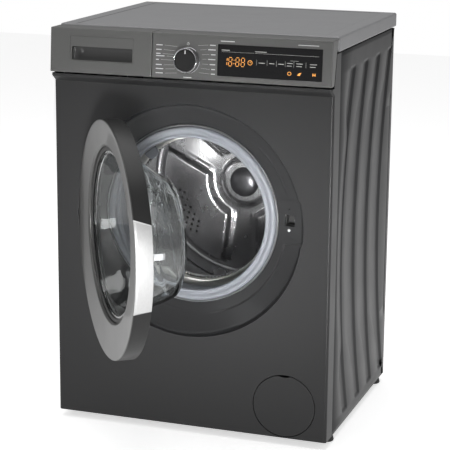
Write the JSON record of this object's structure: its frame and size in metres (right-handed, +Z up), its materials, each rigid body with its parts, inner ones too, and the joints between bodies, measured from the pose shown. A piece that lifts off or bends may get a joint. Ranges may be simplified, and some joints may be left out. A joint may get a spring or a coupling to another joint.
{
  "type": "front load washing machine",
  "caption": "Free-standing front load washing machine with its round glass door swung open, a detergent drawer, a program knob and a dark touch display.",
  "frame": {"origin": "on the floor, at the centre of the footprint of the machine with its door open 53 degrees", "axes": "+Z up, the front of the machine towards -Y, +X to the right seen from the front"},
  "size_m": [0.597, 0.894, 0.845],
  "materials": {
    "graphite_paint": "satin dark graphite paint with a faint metallic flake",
    "side_paint": "satin mid grey paint on pressed sheet",
    "worktop_plastic": "fine grained grey laminate and moulding",
    "fascia_plastic": "satin grey moulded plastic",
    "black_gloss": "glossy black display window",
    "black_plastic": "matte black plastic",
    "chrome": "bright chrome",
    "gasket_rubber": "smooth pale blue-grey rubber",
    "stainless": "bright stainless sheet",
    "lifter_steel": "bright stainless sheet",
    "zinc_steel": "zinc plated steel",
    "clear_glass": "clear moulded glass",
    "door_grey": "satin grey plastic with a bright edge",
    "handle_metal": "satin silver trim",
    "tub_plastic": "grey filled polypropylene",
    "white_plastic": "off-white plastic",
    "cast_weight": "rough cast counterweight",
    "cast_alloy": "cast alloy",
    "black_rubber": "matte black rubber"
  },
  "bodies": {
    "cabinet": {"back_panel": "zinc_steel", "base_tray": "black_plastic", "control_fascia": "fascia_plastic", "cord_gland": "black_plastic", "damper_tube_left": "black_plastic", "damper_tube_right": "black_plastic", "dispenser_hose": "black_rubber", "dispenser_housing": "white_plastic", "display_glass": "black_gloss", "door_gasket": "gasket_rubber", "door_lock": "black_plastic", "drain_outlet": "black_plastic", "drain_pump": "black_plastic", "front_panel": "graphite_paint", "gasket_clamp": "zinc_steel", "hinge_bracket": "cast_alloy", "inlet_valve": "white_plastic", "selector_switch": "white_plastic", "service_cover": "zinc_steel", "side_panel_left": "side_paint", "side_panel_right": "side_paint", "spring_left": "zinc_steel", "spring_right": "zinc_steel", "sump_hose": "black_rubber", "top_brace": "zinc_steel", "worktop_board": "worktop_plastic", "worktop_frame": "worktop_plastic"},
    "door": {"door_outer_ring": "door_grey", "door_inner_ring": "door_grey", "door_glass": "clear_glass", "window_seal": "black_rubber", "handle_trim": "handle_metal", "door_hinge_arm": "cast_alloy"},
    "latch": {"latch_hook": "zinc_steel"},
    "knob": {"program_knob": "black_plastic", "knob_ring": "chrome"},
    "drawer": {"drawer_front": "fascia_plastic", "drawer_tray": "white_plastic"},
    "tub": {"tub_front": "tub_plastic", "tub_rear": "tub_plastic", "front_counterweight": "cast_weight", "top_counterweight": "cast_weight", "drive_motor": "zinc_steel", "drive_belt": "black_rubber", "damper_rod_left": "zinc_steel", "damper_rod_right": "zinc_steel"},
    "drum": {"drum_shell": "stainless", "drum_back": "stainless", "drum_lifter_1": "lifter_steel", "drum_lifter_2": "lifter_steel", "drum_lifter_3": "lifter_steel", "drum_spider": "cast_alloy", "drum_pulley": "cast_alloy"},
    "motor_rotor": {"motor_pulley": "zinc_steel"},
    "cover": {"filter_cover": "graphite_paint"},
    "filter": {"filter_cap": "white_plastic"},
    "foot_fl": {"foot_front_left": "black_plastic"},
    "foot_fr": {"foot_front_right": "black_plastic"},
    "foot_rl": {"foot_rear_left": "black_plastic"},
    "foot_rr": {"foot_rear_right": "black_plastic"}
  },
  "joints": [
    {"name": "door_hinge", "type": "hinge", "parent": "cabinet", "child": "door", "pos_m": [-0.226, -0.074, 0.455], "axis": [0, 0, -1], "range_deg": [-53.4, 56.6]},
    {"name": "latch_pivot", "type": "hinge", "parent": "door", "child": "latch", "pos_m": [0.04406, -0.4108, 0.4708], "axis": [0, 0, 1], "range_deg": [-10, 0], "stiffness_Nm_per_rad": 0.6},
    {"name": "program_turn", "type": "hinge", "parent": "cabinet", "child": "knob", "pos_m": [0.001, -0.07704, 0.79], "axis": [0, -0.997, 0.0775], "continuous": true},
    {"name": "drawer_slide", "type": "slide", "parent": "cabinet", "child": "drawer", "axis": [0, -1, 0], "range_m": [0, 0.2]},
    {"name": "tub_bounce", "type": "slide", "parent": "cabinet", "child": "tub", "axis": [0, 0, 1], "range_m": [-0.006, 0.006], "stiffness_N_per_m": 26000, "springref_m": 0.01509, "deforming": ["spring_left", "spring_right", "dispenser_hose", "sump_hose"]},
    {"name": "drum_spin", "type": "hinge", "parent": "tub", "child": "drum", "pos_m": [-0.0098, 0.191, 0.4638], "axis": [0, -1, 0], "continuous": true},
    {"name": "motor_spin", "type": "hinge", "parent": "tub", "child": "motor_rotor", "pos_m": [-0.0098, 0.371, 0.105], "axis": [0, -1, 0], "continuous": true},
    {"name": "cover_tip", "type": "hinge", "parent": "cabinet", "child": "cover", "pos_m": [0.2069, -0.0578, 0.0235], "axis": [1, 0, 0], "range_deg": [0, 80]},
    {"name": "filter_turn", "type": "hinge", "parent": "cabinet", "child": "filter", "pos_m": [0.2069, -0.029, 0.085], "axis": [0, -1, 0], "range_deg": [0, 90]},
    {"name": "level_fl", "type": "slide", "parent": "cabinet", "child": "foot_fl", "axis": [0, 0, -1], "range_m": [0, 0.015]},
    {"name": "level_fr", "type": "slide", "parent": "cabinet", "child": "foot_fr", "axis": [0, 0, -1], "range_m": [0, 0.015]},
    {"name": "level_rl", "type": "slide", "parent": "cabinet", "child": "foot_rl", "axis": [0, 0, -1], "range_m": [0, 0.015]},
    {"name": "level_rr", "type": "slide", "parent": "cabinet", "child": "foot_rr", "axis": [0, 0, -1], "range_m": [0, 0.015]}
  ],
  "couplings": [
    {"joint": "motor_spin", "follows": "drum_spin", "ratio": 12.167}
  ]
}
